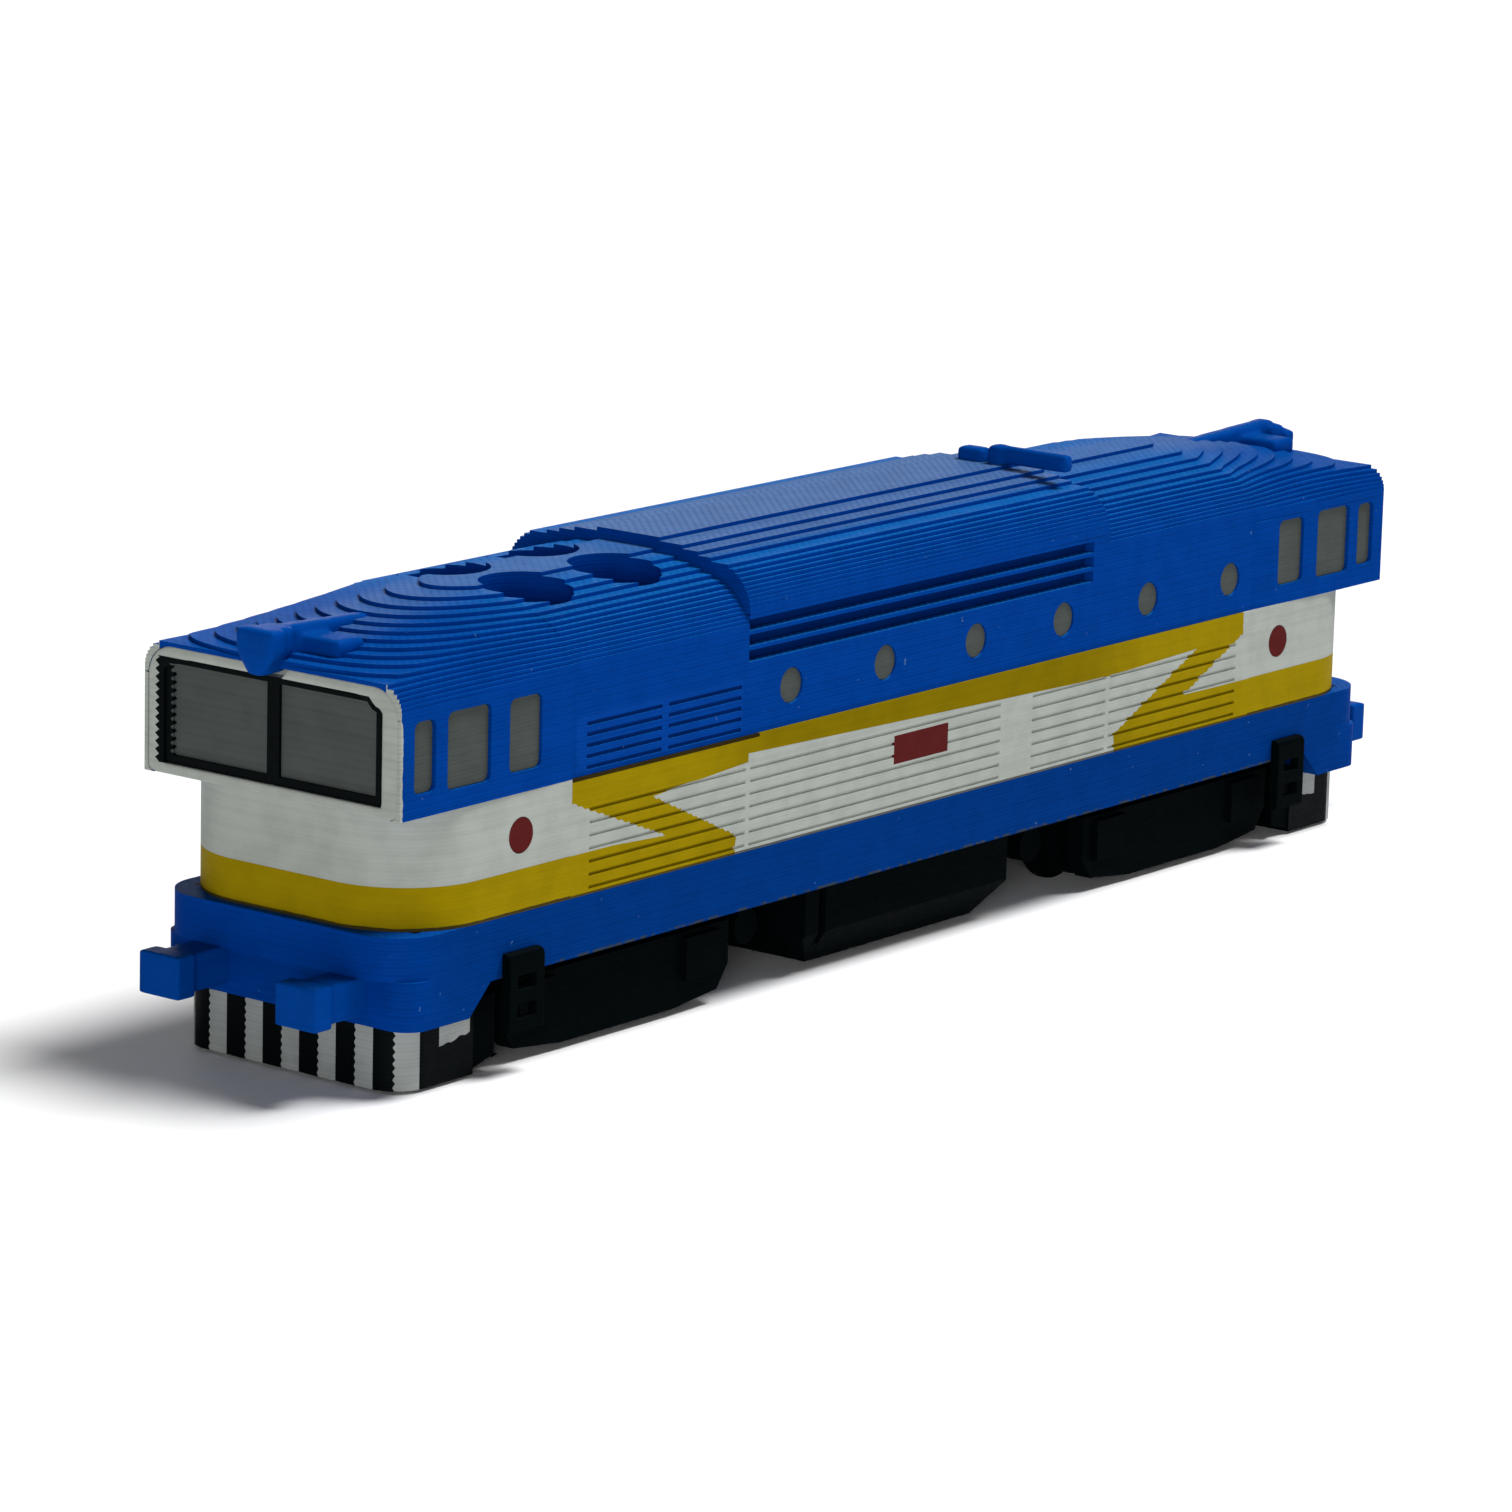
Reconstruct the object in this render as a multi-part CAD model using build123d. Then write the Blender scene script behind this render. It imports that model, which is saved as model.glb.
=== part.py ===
from build123d import *
import os

os.makedirs("parts", exist_ok=True)

# A 1:160 printed model of a four-axle diesel locomotive with wrap-round cabs.
# Millimetres.  +X is the fan end, +Y the left side, +Z up; the floor is z = 0
# and the origin lies on it, midway between the ends.  Most of both ends is
# mirrored, so those places are given once, for the fan end.

# ---- places along X ----
sill_x = 48.3            # front of the deck sill
beam_x = 47.7            # face of the buffer beam under it
nose_x = 47.7            # front of the low nose
cab_back_x = 34.0        # back edge of the cab
hood_x = 18.0            # seam between the raised hood and the end decks
pad_x = 52.3             # buffer faces
bogie_x = 28.1           # bogie pivots

# ---- heights ----
skirt_low_z = 0.2
beam_low_z = 3.9
chassis_low_z = 5.2
sill_low_z = 5.7
sill_crease_z = 6.7
deck_z = 9.2             # top of the sill
band_top_z = 11.7        # top of the low yellow band
stripe_low_z = 14.5      # bottom of the high yellow stripe
waist_top_z = 16.1       # bottom of the blue upper body
fan_deck_z = 26.15       # crown of the roof over the fan deck
rear_deck_z = 25.85      # crown of the roof over the far end deck
hood_top_z = 26.85       # crown of the raised hood
frame_top_z = 23.4       # top of the windscreen frame

# ---- half widths and depths ----
body_y = 9.35            # waist and sill
hood_y = 9.2             # blue upper body
cab_y = 9.5              # cab front
skirt_y = 8.3
chassis_y = 8.3
chassis_setback = 2.0    # chassis end behind the cab block
inlay_depth = 0.8        # how deep a colour goes into the wall behind it
nose_radius = 5.5
sill_radius = 3.0
beam_radius = 1.5

# ---- roof sections ----
# z where the shoulders start, then for the crown start and for the middle of the shoulder
# the part of the half width and the part of the rise from there to the crown
hood_section = (22.8, 0.674, 0.8, 0.951, 0.4875)
deck_section = (22.6, 0.674, 0.732, 0.924, 0.352)
# columns: x, half width, spring z, crown drop, crown start y, its drop,
# shoulder y, its drop, share of the far end's lower roof; drops are from the deck crown
cab_section_rows = [
    (34.0, 9.35, 22.6, 0.0, 6.2, 1.0, 8.55, 2.4, 1.0),
    (41.5, 9.45, 22.3, 0.8, 6.6, 1.7, 8.55, 2.8, 1.0),
    (48.85, 9.5, 22.0, 2.4, 7.7, 2.6, 9.1, 3.05, 0.0),
]

# ---- windscreen ----
frame_depth = 0.8        # the frame is let into the cab front by this much
frame_y = 9.25
frame_side = 1.15
frame_border = 0.6
frame_top_radius = 1.7
frame_foot_radius = 0.5
surround_setback = 0.2
pane_setback = 0.2
mullion = 0.9
surround_side = 0.55
surround_top = 0.35
surround_sill = 0.5
# run across and drop of the cut top corners of the opening and of each pane
opening_cut = (1.9, 0.7)
pane_cut = (1.5, 0.5)

# ---- side windows and portholes ----
# columns: back edge x, front edge x, bottom z, top z
cab_window_rows = [(36.8, 39.6, 17.3, 21.55), (41.2, 44.9, 17.2, 21.65), (45.9, 47.7, 17.4, 21.5)]
window_radius = 0.45
window_recess = 0.12
window_depth = 0.5
porthole_first_x = 13.9
porthole_end_gap = 2.4   # last porthole from the back edge of the cab
porthole_count = 6
porthole_diameter = 2.15
porthole_z = 18.45
disc_fit = 0.04

# ---- hood louvres, radiator panel and waist ribs ----
louvre_low_z = 20.41
louvre_pitch = 0.92
louvre_count = 3
louvre_height = 0.69
louvre_depth = 0.7
louvre_end_x = -16.4
radiator_x = (18.6, 25.3, 25.9, 32.6)
radiator_low_z = 16.4
radiator_pitch = 0.63
radiator_count = 5
radiator_groove = (0.25, 0.08)
rib_low_z = 9.5
rib_pitch = 0.755
rib_count = 7
rib_groove = (0.2, 0.15)
# columns: back x, front x of each ribbed stretch
rib_stretches = [(-32.4, -18.4), (-18.0, -10.2), (-6.9, 17.8), (18.2, 32.4)]

# ---- fan wells ----
fan_near_x = 30.9
fan_far_x = 23.0
fan_y = 3.1
fan_diameter = 5.5
fan_depth = 1.8

# ---- roof lamp, horn and exhaust ----
lamp_x = (48.1, 49.7)
lamp_y = (0.65, 1.75)    # half width at the foot and at the top of the face
lamp_top_z = 25.45
lamp_full_z = 24.1       # where the face reaches its full width
horn_x = (45.0, 47.2)
horn_y = (0.4, 3.5)
horn_top_z = 25.05
fixture_sink = 1.6       # how far the blocks reach down into the roof
exhaust_x = (-17.2, -15.9)
# columns: y, y, height above the hood crown of the low stack and of the high one
stack_rows = [(-1.3, 0.75, 0.85), (1.05, 2.1, 1.2)]
exhaust_bar_y = 7.1
exhaust_bar_x = (-17.0, -16.1)
exhaust_bar_height = 0.9

# ---- marker discs and side plates ----
# x of the disc at the fan end and at the far end
marker_x = {"front": 38.4, "rear": 37.2}
marker_z = 13.65
marker_diameter = 2.1
marker_depth = 0.4
plate_x = (-1.5, 3.9)
plate_z = (12.1, 13.85)

# ---- buffers, steps, skirt ----
pad_width = 3.0
pad_height = 2.5
pad_thickness = 1.0
buffer_y = 5.1
buffer_z = 5.6
stem_side = 2.2
beam_slant = 1.8         # run of the slanted back edge of the beam
skirt_gap = 2.7          # skirt behind the end of the bogie frame
skirt_front_x = 47.3
skirt_radius = 2.2
stripe_first_y = -8.63
stripe_pitch = 2.73
stripe_count = 7
stripe_wrap_x = 45.5     # how far back the corner stripe runs
stripe_depth = 0.45
side_stripe_x = (0.3, 2.9)   # from the back of the skirt
side_stripe_z = 2.3
step_x = (36.9, 39.9)
step_z = (2.6, 7.1)
step_thickness = 0.65
step_round = 0.3
step_hole_x = (37.6, 39.2)
# columns: bottom z, top z of each foot hole
step_hole_rows = [(3.3, 4.15), (4.95, 5.75)]

# ---- underbody ----
tank_x = (-9.5, 10.8)
tank_low_z = 0.45
tank_y = 8.3
tank_chamfer_z = 2.1
tank_chamfer_y = 1.4
tank_end_slope = 1.9
tank_groove_x = (8.8, 9.5)
tank_groove_depth = 0.6
reservoir_z = 3.6
reservoir_radius = 1.1
reservoir_y = 6.6
saddle_side = 1.2
saddle_half_y = 3.0

# ---- bogies ----
wheelbase = 15.0
wheel_axis_z = 3.6
tread_radius = 3.0
flange_radius = wheel_axis_z
wheel_inner_y = 3.7      # back face of each wheel
wheel_width = 2.2
flange_width = 0.7
wheel_fit = 0.02
axle_radius = 0.75
axle_y = 7.45
axle_fit = 0.1
bogie_frame_y = (6.9, 8.1)
bogie_half_length = 10.2
bogie_z = (0.45, 4.9)
bolster_z = 2.9
bolster_half_x = 2.6
axle_box_y = 8.45
axle_box_half_x = 1.6
axle_box_z = (2.0, 4.6)
frame_nose_z = 2.3       # bottom of the frame at its very end
frame_knee = (9.2, 0.9)  # x from the pivot and z of the bend in the bottom edge
frame_flat_x = 5.0
pin_radius = 1.25
pin_fit = 0.08
boss_radius = 2.2
pin_head_radius = 2.0
pin_head_height = 0.7
pivot_gap = 0.2
well_half_x = 12.5
well_top_z = 7.9

# ---- places that follow from others ----
frame_x = cab_section_rows[-1][0]
frame_back_x = frame_x - frame_depth
chassis_x = frame_back_x - chassis_setback
skirt_back_x = bogie_x + bogie_half_length + skirt_gap
beam_heel_x = skirt_back_x - 0.2
beam_foot_x = beam_heel_x + beam_slant
reservoir_x = (tank_x[1] + bogie_x - bogie_half_length) / 2


def save(name, *solids):
    """Write one node; several solids become a compound."""
    shape = solids[0] if len(solids) == 1 else Compound(children=list(solids))
    shape.label = name
    export_step(shape, f"parts/{name}.step")


def block(x0, x1, y0, y1, z0, z1):
    """A box between two opposite corners."""
    size = (abs(x1 - x0), abs(y1 - y0), abs(z1 - z0))
    return Pos((x0 + x1) / 2, (y0 + y1) / 2, (z0 + z1) / 2) * Box(*size)


def on_left_and_right(solids):
    return [*solids, *[mirror(solid, about=Plane.XZ) for solid in solids]]


def at_end(end, solid):
    """A solid made for the fan end, mirrored for the far end."""
    return solid if end == "front" else mirror(solid, about=Plane.YZ)


def save_both_ends(name, *solids):
    for end in ("front", "rear"):
        save(f"{name}_{end}", *[at_end(end, solid) for solid in solids])


def end_slab(x_front, half_y, radius, x_back, z0, z1):
    """A slab with its two front plan corners rounded."""
    plan = Pos((x_front + x_back) / 2, 0) * Rectangle(x_front - x_back, 2 * half_y)
    plan = fillet(plan.vertices().sort_by(Axis.X)[-2:], radius)
    return Pos(0, 0, z0) * extrude(plan, z1 - z0)


def side_prism(points, y0, y1):
    """A prism across Y from an outline of (x, z) points."""
    outline = Plane.XZ * make_face(Polyline(*points, close=True))
    return Pos(0, y1, 0) * extrude(outline, y1 - y0)


def front_prism(plan, x0, x1):
    """A prism along X from a sketch of (y, z) shapes."""
    plane = Plane(origin=(x0, 0, 0), x_dir=(0, 1, 0), z_dir=(1, 0, 0))
    return extrude(plane * plan, x1 - x0)


def rounded_window(x0, x1, z0, z1, radius, y0, y1):
    """A rounded rectangular plug through the left wall."""
    pane = Pos((x0 + x1) / 2, (z0 + z1) / 2) * RectangleRounded(x1 - x0, z1 - z0, radius)
    return Pos(0, y1, 0) * extrude(Plane.XZ * pane, y1 - y0)


def side_disc(x, z, diameter, y0, y1):
    return Pos(x, (y0 + y1) / 2, z) * Rot(90, 0, 0) * Cylinder(diameter / 2, y1 - y0)


# ---- blue upper body ----
def body_face(x, half_y, spring, top, crown_y, crown_z, shoulder_y, shoulder_z):
    """A body section: flat walls, a shoulder arc each side and a crown arc."""
    right = [(half_y, waist_top_z), (half_y, spring), (shoulder_y, shoulder_z), (crown_y, crown_z)]
    left = [(-y, z) for y, z in right]
    outline = [
        Line(right[0], right[1]),
        ThreePointArc(right[1], right[2], right[3]),
        ThreePointArc(right[3], (0, top), left[3]),
        ThreePointArc(left[3], left[2], left[1]),
        Line(left[1], left[0]),
        Line(left[0], right[0]),
    ]
    return Plane(origin=(x, 0, 0), x_dir=(0, 1, 0), z_dir=(1, 0, 0)) * make_face(outline)


def arch(x, top, half_y, section):
    """The body section away from the cabs."""
    spring, crown_across, crown_up, shoulder_across, shoulder_up = section
    rise = top - spring
    return body_face(x, half_y, spring, top, crown_across * half_y, spring + crown_up * rise,
                     shoulder_across * half_y, spring + shoulder_up * rise)


porthole_pitch = (porthole_first_x + cab_back_x - porthole_end_gap) / (porthole_count - 1)
portholes = [(porthole_first_x - i * porthole_pitch, porthole_z) for i in range(porthole_count)]
porthole_floor_y = hood_y - window_depth
porthole_bores = on_left_and_right(
    [side_disc(x, z, porthole_diameter, porthole_floor_y, hood_y + 1) for x, z in portholes])

louvres = on_left_and_right([
    block(louvre_end_x, hood_x, hood_y - louvre_depth, hood_y + 1,
          louvre_low_z + i * louvre_pitch, louvre_low_z + i * louvre_pitch + louvre_height)
    for i in range(louvre_count)])

hood = extrude(arch(-hood_x, hood_top_z, hood_y, hood_section), 2 * hood_x, dir=(1, 0, 0))
hood = hood - louvres - porthole_bores

deck_length = cab_back_x - hood_x
fan_deck = extrude(arch(hood_x, fan_deck_z, hood_y, deck_section), deck_length, dir=(1, 0, 0))
fan_wells = [Pos(x, y, fan_deck_z) * Cylinder(fan_diameter / 2, 2 * fan_depth)
             for x in (fan_near_x, fan_far_x) for y in (fan_y, -fan_y)]
radiator_grooves = on_left_and_right([
    block(x0, x1, hood_y - radiator_groove[1], hood_y + 1,
          radiator_low_z + i * radiator_pitch, radiator_low_z + i * radiator_pitch + radiator_groove[0])
    for x0, x1 in (radiator_x[:2], radiator_x[2:]) for i in range(radiator_count)])
fan_deck = fan_deck - fan_wells - radiator_grooves

rear_deck = extrude(arch(-cab_back_x, rear_deck_z, hood_y, deck_section), deck_length, dir=(1, 0, 0))
rear_deck = rear_deck - porthole_bores

save("body_hood", hood)
save("body_fan_deck", fan_deck)
save("body_rear_deck", rear_deck)
save("portholes", *on_left_and_right([
    side_disc(x, z, porthole_diameter - 2 * disc_fit, porthole_floor_y, hood_y - window_recess)
    for x, z in portholes]))

# ---- cabs ----
def cab_block(deck_z_here):
    """The blue cab block under a deck crown of this height, for the fan end."""
    faces = []
    for x, half_y, spring, drop, crown_y, crown_drop, shoulder_y, shoulder_drop, share in cab_section_rows:
        top = fan_deck_z - share * (fan_deck_z - deck_z_here)
        faces.append(body_face(x, half_y, spring, top - drop, crown_y, top - crown_drop,
                               shoulder_y, top - shoulder_drop))
    return loft(faces)


def corner_cut(y, z, cut):
    """The triangle cut from a top outer corner; a corner on the right has y below 0."""
    run = cut[0] if y > 0 else -cut[0]
    return make_face(Polyline((y, z), (y - run, z), (y, z - cut[1]), close=True))


window_floor_y = cab_section_rows[0][1] - window_depth
window_face_y = cab_section_rows[0][1] - window_recess
cab_pockets = on_left_and_right([
    rounded_window(x0, x1, z0, z1, window_radius, window_floor_y, cab_y + 1)
    for x0, x1, z0, z1 in cab_window_rows])
frame_height = frame_top_z - waist_top_z
frame_plan = Pos(0, (waist_top_z + frame_top_z) / 2) * Rectangle(2 * frame_y, frame_height)
frame_corners = frame_plan.vertices().sort_by(Axis.Y)
frame_plan = fillet(frame_corners[-2:], frame_top_radius)
frame_plan = fillet(frame_plan.vertices().sort_by(Axis.Y)[:2], frame_foot_radius)
opening_y = frame_y - frame_side
opening_z = (waist_top_z + frame_border, frame_top_z - frame_border)
opening_plan = Pos(0, sum(opening_z) / 2) * Rectangle(2 * opening_y, opening_z[1] - opening_z[0])
opening_plan = opening_plan - [corner_cut(y, opening_z[1], opening_cut) for y in (opening_y, -opening_y)]
pane_z = (opening_z[0] + surround_sill, opening_z[1] - surround_top)
pane_y = (mullion / 2, opening_y - surround_side)
pane_size = (pane_y[1] - pane_y[0], pane_z[1] - pane_z[0])
pane_plans = [Pos(side * sum(pane_y) / 2, sum(pane_z) / 2) * Rectangle(*pane_size)
              - corner_cut(side * pane_y[1], pane_z[1], pane_cut)
              for side in (1, -1)]
surround_x = frame_x - surround_setback
pane_x = surround_x - pane_setback
frame_pocket = front_prism(frame_plan, frame_back_x, frame_x)
frame = front_prism(frame_plan - opening_plan, frame_back_x, frame_x)
surround = front_prism(opening_plan - pane_plans, frame_back_x, surround_x)
panes = [front_prism(plan, frame_back_x, pane_x) for plan in pane_plans]

# the lamp stands on the frame, its foot cut into it; the horn block stands behind on the left
lamp_foot_z = opening_z[1]
lamp_plan = make_face(Polyline(
    (lamp_y[1], lamp_top_z), (lamp_y[1], lamp_full_z), (lamp_y[0], lamp_foot_z),
    (-lamp_y[0], lamp_foot_z), (-lamp_y[1], lamp_full_z), (-lamp_y[1], lamp_top_z), close=True))
lamp = front_prism(lamp_plan, *lamp_x)
horn = block(*horn_x, *horn_y, horn_top_z - fixture_sink, horn_top_z)

for end, deck_crown in (("front", fan_deck_z), ("rear", rear_deck_z)):
    cab = cab_block(deck_crown) - cab_pockets - frame_pocket
    save(f"cab_{end}", at_end(end, cab))
    save(f"lamp_unit_{end}", at_end(end, lamp - cab), at_end(end, horn - cab))
save_both_ends("windscreen_frame", frame - lamp)
save_both_ends("windscreen_surround", surround)
save_both_ends("windscreen_panes", *panes)
save_both_ends("cab_windows", *on_left_and_right([
    rounded_window(x0 + disc_fit, x1 - disc_fit, z0 + disc_fit, z1 - disc_fit, window_radius,
                   window_floor_y, window_face_y)
    for x0, x1, z0, z1 in cab_window_rows]))

# ---- exhaust on the hood ----
bar_top_z = hood_top_z + stack_rows[-1][2]
exhaust = block(*exhaust_bar_x, stack_rows[-1][0], exhaust_bar_y, bar_top_z - exhaust_bar_height, bar_top_z)
for y0, y1, height in stack_rows:
    exhaust = exhaust + block(*exhaust_x, y0, y1, hood_top_z - fixture_sink, hood_top_z + height)
exhaust = exhaust + block(*exhaust_bar_x, stack_rows[0][0], stack_rows[-1][1],
                          hood_top_z - fixture_sink, hood_top_z)
save("exhaust_bar", exhaust - hood)

# ---- waist: white core, yellow flashes, red plates ----
# outlines in (x, z); the two ends differ
flash_front = [
    (0, waist_top_z), (cab_back_x, waist_top_z), (cab_back_x, 14.7), (25.6, 11.5),
    (cab_back_x, band_top_z), (cab_back_x, deck_z), (19.0, deck_z), (19.1, 10.4),
    (26.9, 14.0), (hood_x, 14.2), (hood_x, stripe_low_z), (0, stripe_low_z),
]
flash_rear = [
    (0, waist_top_z), (-33.1, waist_top_z), (-33.1, 14.7), (-26.7, 11.75),
    (-cab_back_x, band_top_z), (-cab_back_x, deck_z), (-19.0, deck_z), (-19.1, 10.4),
    (-27.9, stripe_low_z), (0, stripe_low_z),
]
flash_left = side_prism(flash_front, body_y - inlay_depth, body_y)
flash_left = flash_left + side_prism(flash_rear, body_y - inlay_depth, body_y)
flash_right = mirror(flash_left, about=Plane.XZ)
plate = block(*plate_x, body_y - inlay_depth, body_y, *plate_z)
plates = on_left_and_right([plate])
rib_cuts = on_left_and_right([
    block(x0, x1, body_y - rib_groove[1], body_y + 1,
          rib_low_z + i * rib_pitch, rib_low_z + i * rib_pitch + rib_groove[0])
    for x0, x1 in rib_stretches for i in range(rib_count)])
waist = block(-cab_back_x, cab_back_x, -body_y, body_y, deck_z, waist_top_z)
waist = waist - flash_left - flash_right - plates - rib_cuts

save("waist_white", waist)
save("flash_left", flash_left - rib_cuts)
save("flash_right", flash_right - rib_cuts)
save("side_plates", *plates)

# ---- noses ----
nose = end_slab(nose_x, body_y, nose_radius, cab_back_x, band_top_z, waist_top_z)
band = end_slab(nose_x, body_y, nose_radius, cab_back_x, deck_z, band_top_z)
for end, x in marker_x.items():
    bores = on_left_and_right([side_disc(x, marker_z, marker_diameter, body_y - marker_depth, body_y + 1)])
    discs = on_left_and_right([
        side_disc(x, marker_z, marker_diameter - 2 * disc_fit, body_y - marker_depth, body_y)])
    save(f"nose_white_{end}", at_end(end, nose - bores))
    save(f"nose_band_{end}", at_end(end, band))
    save(f"marker_discs_{end}", *[at_end(end, disc) for disc in discs])

# ---- deck sill, buffer beams, buffers ----
sill_half = end_slab(sill_x, body_y, sill_radius, 0, sill_crease_z, deck_z)
sill_half = sill_half + end_slab(beam_x, body_y, beam_radius, 0, sill_low_z, sill_crease_z)
sill_half = sill_half - block(0, chassis_x, -chassis_y, chassis_y, sill_low_z, deck_z)
save("deck_sill", sill_half + mirror(sill_half, about=Plane.YZ))

beam = end_slab(beam_x, body_y, beam_radius, beam_heel_x, beam_low_z, sill_low_z)
beam_cut = side_prism([(beam_heel_x, beam_low_z), (beam_foot_x, beam_low_z), (beam_heel_x, sill_low_z)],
                      -body_y, body_y)
beam = beam - beam_cut - block(beam_heel_x, chassis_x, -chassis_y, chassis_y, chassis_low_z, sill_low_z)
save_both_ends("buffer_beam", beam)

pad = Pos(pad_x - pad_thickness / 2, buffer_y, buffer_z) * Box(pad_thickness, pad_width, pad_height)
stem = block(beam_x, pad_x - pad_thickness, buffer_y - stem_side / 2, buffer_y + stem_side / 2,
             buffer_z - stem_side / 2, buffer_z + stem_side / 2)
save_both_ends("buffers", *on_left_and_right([pad + stem]))

# ---- striped skirts ----
skirt = end_slab(skirt_front_x, skirt_y, skirt_radius, skirt_back_x, skirt_low_z, beam_low_z)
stripe_zones = []
for i in range(stripe_count):
    y0 = stripe_first_y + i * stripe_pitch
    y1 = y0 + stripe_pitch / 2
    corner = i in (0, stripe_count - 1)
    stripe_zones.append(block(stripe_wrap_x if corner else skirt_front_x - stripe_depth, skirt_front_x,
                              y0, skirt_y if i == stripe_count - 1 else y1, skirt_low_z, beam_low_z))
stripe_zones = stripe_zones + on_left_and_right([
    block(skirt_back_x + side_stripe_x[0], skirt_back_x + side_stripe_x[1], skirt_y - stripe_depth, skirt_y,
          side_stripe_z, beam_low_z)])
stripes = [skirt & zone for zone in stripe_zones]
save_both_ends("skirt", skirt - stripe_zones)
save_both_ends("skirt_stripes", *stripes)

# ---- steps under the cab doors ----
steps = block(*step_x, body_y, body_y + step_thickness, *step_z)
for z0, z1 in step_hole_rows:
    steps = steps - block(*step_hole_x, body_y, body_y + step_thickness, z0, z1)
step_top = steps.edges().filter_by(Axis.X).sort_by(lambda edge: edge.center().Z + edge.center().Y)[-1]
steps = fillet(step_top, step_round)
save_both_ends("steps", *on_left_and_right([steps]))

# ---- chassis, tank, reservoirs, pivot pins ----
chassis = block(-chassis_x, chassis_x, -chassis_y, chassis_y, chassis_low_z, deck_z)
for x in (bogie_x, -bogie_x):
    chassis = chassis - block(x - well_half_x, x + well_half_x, -chassis_y, chassis_y,
                              chassis_low_z, well_top_z)
save("chassis", chassis)

tank_plan = make_face(Polyline(
    (tank_y, chassis_low_z), (tank_y, tank_low_z + tank_chamfer_z), (tank_y - tank_chamfer_y, tank_low_z),
    (tank_chamfer_y - tank_y, tank_low_z), (-tank_y, tank_low_z + tank_chamfer_z), (-tank_y, chassis_low_z),
    close=True))
tank = front_prism(tank_plan, *tank_x)
tank_side = side_prism([
    (tank_x[0], chassis_low_z), (tank_x[0], tank_low_z + tank_end_slope),
    (tank_x[0] + tank_end_slope, tank_low_z), (tank_x[1] - tank_end_slope, tank_low_z),
    (tank_x[1], tank_low_z + tank_end_slope), (tank_x[1], chassis_low_z)], -tank_y, tank_y)
tank_grooves = on_left_and_right([
    block(*tank_groove_x, tank_y - tank_groove_depth, tank_y, tank_low_z, chassis_low_z)])
save("fuel_tank", (tank & tank_side) - tank_grooves)

reservoir = Pos(reservoir_x, 0, reservoir_z) * Rot(90, 0, 0) * Cylinder(reservoir_radius, 2 * reservoir_y)
saddle = block(reservoir_x - saddle_side / 2, reservoir_x + saddle_side / 2,
               -saddle_half_y, saddle_half_y, reservoir_z, chassis_low_z)
reservoir = reservoir + saddle
save("air_reservoirs", reservoir, mirror(reservoir, about=Plane.YZ))

boss_low_z = bogie_z[1] + pivot_gap
pin = Pos(bogie_x, 0, (boss_low_z + well_top_z) / 2) * Cylinder(boss_radius, well_top_z - boss_low_z)
head_top_z = bolster_z - pivot_gap
pin = pin + Pos(bogie_x, 0, (head_top_z + boss_low_z) / 2) * Cylinder(pin_radius, boss_low_z - head_top_z)
pin = pin + Pos(bogie_x, 0, head_top_z - pin_head_height / 2) * Cylinder(pin_head_radius, pin_head_height)
save_both_ends("pivot_pin", pin)

# ---- bogies ----
frame_side_points = [
    (-bogie_half_length, bogie_z[1]), (-bogie_half_length, frame_nose_z), (-frame_knee[0], frame_knee[1]),
    (-frame_flat_x, bogie_z[0]), (frame_flat_x, bogie_z[0]), (frame_knee[0], frame_knee[1]),
    (bogie_half_length, frame_nose_z), (bogie_half_length, bogie_z[1]),
]
side_frame = side_prism(frame_side_points, *bogie_frame_y)
for dx in (-wheelbase / 2, wheelbase / 2):
    side_frame = side_frame + block(dx - axle_box_half_x, dx + axle_box_half_x,
                                    bogie_frame_y[1], axle_box_y, *axle_box_z)
    side_frame = side_frame - side_disc(dx, wheel_axis_z, 2 * (axle_radius + axle_fit),
                                        bogie_frame_y[0], axle_y + axle_fit)
bolster = block(-bolster_half_x, bolster_half_x, -bogie_frame_y[0], bogie_frame_y[0], bolster_z, bogie_z[1])
bolster = bolster - Pos(0, 0, bolster_z) * Cylinder(pin_radius + pin_fit, 4 * (bogie_z[1] - bolster_z))
bogie = bolster + side_frame + mirror(side_frame, about=Plane.XZ)

wheel_outline = make_face(Polyline(
    (axle_radius + wheel_fit, wheel_inner_y), (flange_radius, wheel_inner_y),
    (flange_radius, wheel_inner_y + flange_width / 2), (tread_radius, wheel_inner_y + flange_width),
    (tread_radius, wheel_inner_y + wheel_width), (axle_radius + wheel_fit, wheel_inner_y + wheel_width),
    close=True))
wheel = revolve(wheel_outline, Axis.Y)
axle = Rot(90, 0, 0) * Cylinder(axle_radius, 2 * axle_y)

for end, x in (("front", bogie_x), ("rear", -bogie_x)):
    save(f"bogie_frame_{end}", Pos(x, 0, 0) * bogie)
    for place, dx in (("outer", wheelbase / 2), ("inner", -wheelbase / 2)):
        axis_x = x + (dx if end == "front" else -dx)
        at = Pos(axis_x, 0, wheel_axis_z)
        save(f"axle_{end}_{place}", at * axle)
        save(f"wheels_{end}_{place}", at * wheel, at * mirror(wheel, about=Plane.XZ))
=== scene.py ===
import math
import bpy
from mathutils import Matrix, Vector


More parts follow.
